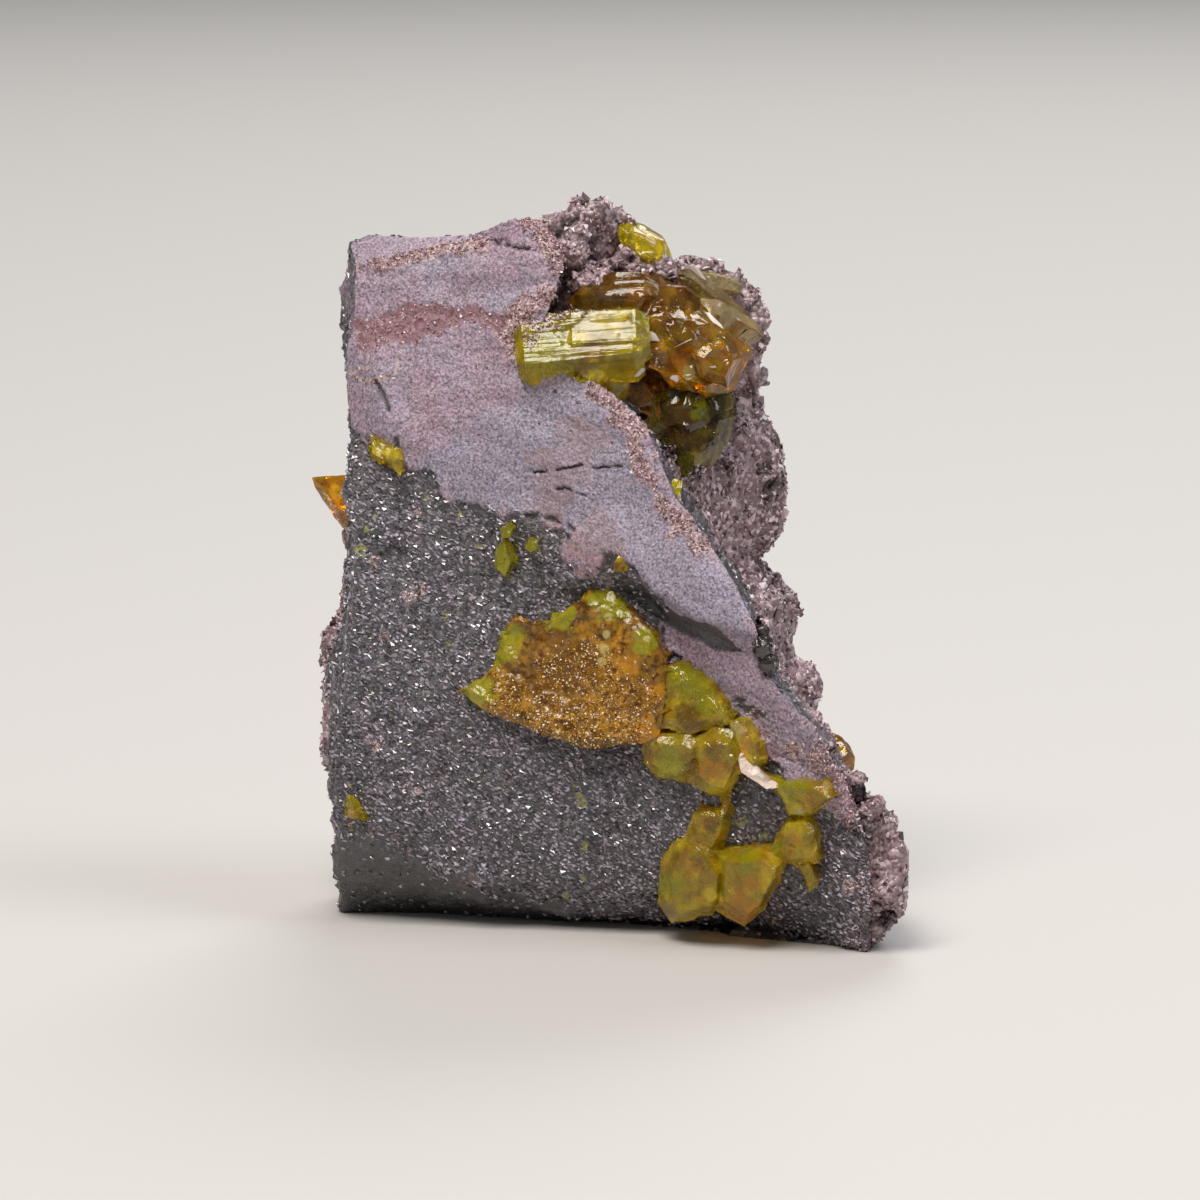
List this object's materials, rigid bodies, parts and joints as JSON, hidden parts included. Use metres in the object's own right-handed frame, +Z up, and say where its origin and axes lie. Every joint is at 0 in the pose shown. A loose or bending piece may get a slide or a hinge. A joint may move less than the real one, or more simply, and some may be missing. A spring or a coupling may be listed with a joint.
{
  "type": "mineral specimen, sturmanite on matrix",
  "caption": "Broken piece of dark ore with a granular crust, carrying yellow and amber crystals in a cavity and on its front; stands on its own base for display.",
  "frame": {"origin": "on the surface that the stone stands on, under the middle of the whole piece", "axes": "+Z up, the broken face with the crystals looks along -Y, +X to the right as seen from the front"},
  "size_m": [0.0242, 0.0172, 0.0298],
  "materials": {
    "ore": "fine-grained, satin, dark grey with a mauve cast",
    "crust": "rough, granular, glinting, pinkish brown",
    "lime_crystal": "clear, glossy, lime yellow",
    "amber_crystal": "clear, glossy, amber",
    "brown_crystal": "clear, glossy, brown",
    "olive_crystal": "clear, glossy, dark olive",
    "pale_crystal": "cloudy, satin, straw",
    "plate_crystal": "sugary broken face, amber brown with olive edges",
    "face_crystal": "clear to cloudy, striated, yellow to olive",
    "edge_grain": "glossy, nearly black brown",
    "splinter": "satin, fibrous, cream"
  },
  "bodies": {
    "root": {"hematite_matrix": "ore", "cavity_crust": "crust", "vug_prism_crystal": "lime_crystal", "vug_rear_crystal": "brown_crystal", "vug_amber_crystal": "amber_crystal", "vug_olive_crystal": "olive_crystal", "vug_brown_crystal": "brown_crystal", "vug_top_crystal": "lime_crystal", "vug_pale_blades": "pale_crystal", "vug_small_crystal": "lime_crystal", "front_plate_crystal": "plate_crystal", "side_crystal_cluster": "face_crystal", "lower_crystal_cluster": "face_crystal", "right_crystal_spray": "face_crystal", "left_edge_crystals": "face_crystal", "left_vein_crystal": "face_crystal", "fleck_upper": "lime_crystal", "fleck_lower": "lime_crystal", "fleck_right": "lime_crystal", "fleck_middle": "lime_crystal", "back_left_crystal": "amber_crystal", "back_right_crystal": "amber_crystal", "back_foot_crystal": "amber_crystal", "edge_grains": "edge_grain", "pale_splinter": "splinter"}
  },
  "joints": []
}
